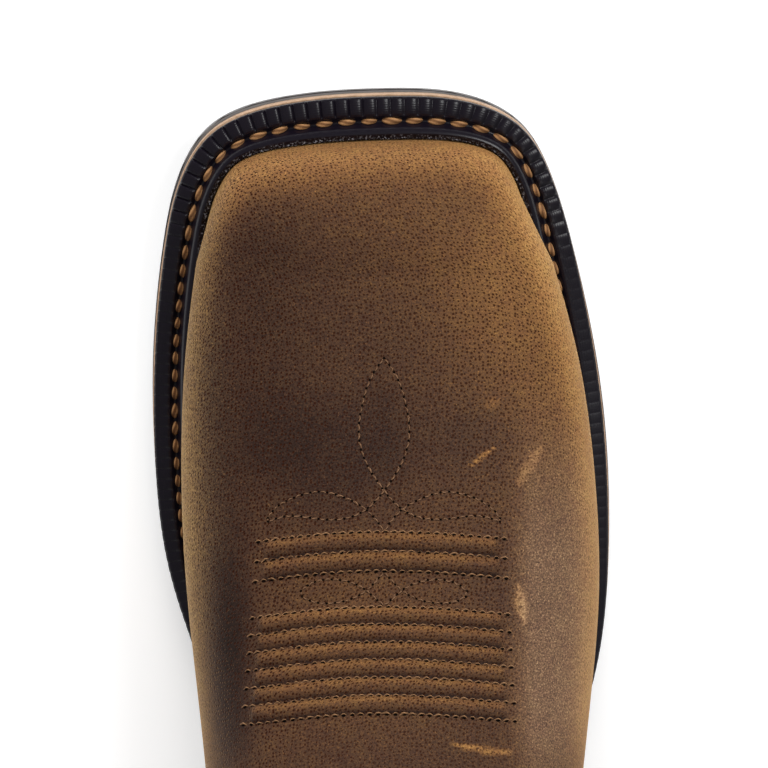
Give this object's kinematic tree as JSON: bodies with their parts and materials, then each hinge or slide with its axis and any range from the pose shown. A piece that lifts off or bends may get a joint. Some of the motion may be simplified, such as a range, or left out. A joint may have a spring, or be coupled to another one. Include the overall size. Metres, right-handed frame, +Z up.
{
  "type": "work boot",
  "caption": "Square-toe pull-on work boot for the right foot: hollow leather upper with corded vamp ridges, ribbed rubber welt, tan midsole, lugged outsole and block heel.",
  "frame": {"origin": "on the floor under the middle of the boot's box", "axes": "+Y towards the toe, +X towards the little-toe side, +Z up"},
  "size_m": [0.1181, 0.308, 0.2971],
  "materials": {
    "upper_leather": "pull-up brown leather with a fine nap and dark pores",
    "insole_leather": "plain tan leather board",
    "welt_rubber": "black moulded rubber, satin, ribbed",
    "midsole_leather": "tan leather, trimmed edge",
    "outsole_rubber": "black moulded rubber, matte"
  },
  "bodies": {
    "root": {"upper": "upper_leather", "insole": "insole_leather", "welt": "welt_rubber", "midsole": "midsole_leather", "outsole": "outsole_rubber", "heel": "outsole_rubber"}
  },
  "joints": []
}
